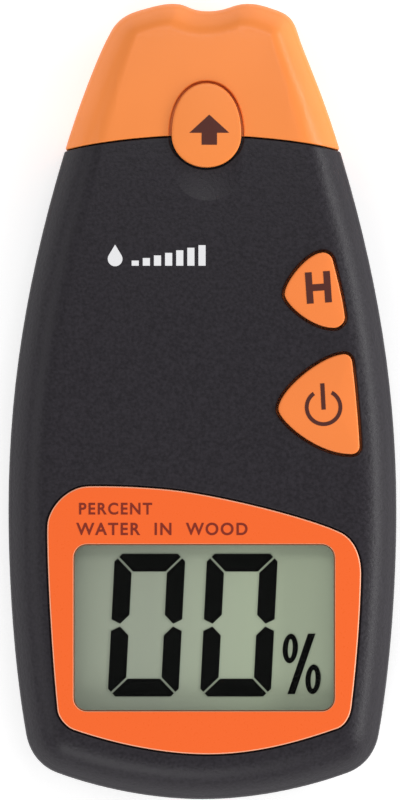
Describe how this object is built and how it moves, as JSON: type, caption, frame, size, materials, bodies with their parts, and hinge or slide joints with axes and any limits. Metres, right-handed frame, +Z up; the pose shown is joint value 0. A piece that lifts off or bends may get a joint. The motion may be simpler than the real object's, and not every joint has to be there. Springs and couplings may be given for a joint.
{
  "type": "moisture meter",
  "caption": "Pin-type moisture meter for wood: waisted charcoal body, pull-off orange pin cap with release button, large numeric display in an orange bezel, two orange keys, battery door.",
  "frame": {"origin": "centre of the footprint on the plane of the flat back, with the meter lying face up", "axes": "+X to the right across the body, +Y from the foot towards the measuring pins and cap, +Z up out of the display"},
  "size_m": [0.0682, 0.14, 0.0287],
  "materials": {
    "case_plastic": "charcoal moulded plastic with a fine grain",
    "cap_plastic": "orange moulded plastic, satin",
    "bezel_plastic": "deep orange moulded plastic, satin",
    "key_plastic": "orange moulded key, satin",
    "ivory_plastic": "ivory insulating plastic",
    "white_plastic": "white plastic",
    "black_plastic": "black plastic",
    "red_plastic": "red plastic",
    "foam": "dark soft foam",
    "strip_rubber": "layered conductive rubber",
    "label_film": "blank silver film",
    "steel": "bright steel",
    "zinc_steel": "zinc-plated steel",
    "brass": "plain brass",
    "tin_plate": "tinned plate",
    "clear_window": "clear",
    "display_glass": "faintly green",
    "display_back": "grey-green",
    "reflector": "grey-green satin film",
    "display_ink": "black",
    "board": "green coated glass-fibre board",
    "chip_plastic": "black epoxy",
    "ceramic": "tan ceramic",
    "can_sleeve": "dark blue sleeve",
    "battery_jacket": "blue printed metal jacket",
    "wire_blue": "blue insulation",
    "wire_red": "red insulation",
    "wire_black": "black insulation"
  },
  "bodies": {
    "meter": {"front_case": "case_plastic", "rear_case": "case_plastic", "rear_label": "label_film", "case_screws": "zinc_steel", "pin_block": "ivory_plastic", "pin_socket_left": "brass", "pin_socket_right": "brass", "measuring_pin_left": "steel", "measuring_pin_right": "steel", "pin_lead_left": "wire_blue", "pin_lead_right": "wire_blue", "display_bezel": "bezel_plastic", "display_window": "clear_window", "lcd_front_glass": "display_glass", "lcd_rear_glass": "display_back", "lcd_reflector": "reflector", "lcd_digits": "display_ink", "lcd_percent_sign": "display_ink", "lcd_frame": "white_plastic", "zebra_strip": "strip_rubber", "hold_switch": "black_plastic", "power_switch": "black_plastic", "main_board": "board", "board_screws": "zinc_steel", "controller_blob": "chip_plastic", "amplifier_chip": "chip_plastic", "chip_resistors": "chip_plastic", "chip_capacitors": "ceramic", "electrolytic_capacitor": "can_sleeve", "crystal_can": "steel", "battery_case": "battery_jacket", "battery_terminal_positive": "tin_plate", "battery_terminal_negative": "tin_plate", "battery_clip": "black_plastic", "battery_clip_contacts": "tin_plate", "battery_lead_red": "wire_red", "battery_lead_black": "wire_black"},
    "cap": {"pin_cap": "cap_plastic", "release_button_spring": "steel"},
    "cap_button": {"cap_release_button": "cap_plastic"},
    "hold_key_body": {"hold_key": "key_plastic", "hold_switch_plunger": "red_plastic"},
    "power_key_body": {"power_key": "key_plastic", "power_switch_plunger": "red_plastic"},
    "door": {"battery_door": "case_plastic", "door_foam_pad": "foam"}
  },
  "joints": [
    {"name": "cap_slide", "type": "slide", "parent": "meter", "child": "cap", "axis": [0, 1, 0], "range_m": [0, 0.034]},
    {"name": "cap_button_press", "type": "slide", "parent": "cap", "child": "cap_button", "axis": [0, -0.1168, -0.9932], "range_m": [0, 0.0007], "stiffness_N_per_m": 800, "springref_m": -0.0006, "deforming": ["release_button_spring"]},
    {"name": "hold_key_press", "type": "slide", "parent": "meter", "child": "hold_key_body", "axis": [0, 0, -1], "range_m": [0, 0.0005], "stiffness_N_per_m": 1000, "springref_m": -0.0005},
    {"name": "power_key_press", "type": "slide", "parent": "meter", "child": "power_key_body", "axis": [0, 0, -1], "range_m": [0, 0.0005], "stiffness_N_per_m": 1000, "springref_m": -0.0005},
    {"name": "battery_door_slide", "type": "slide", "parent": "meter", "child": "door", "axis": [0, -1, 0], "range_m": [0, 0.06]}
  ]
}
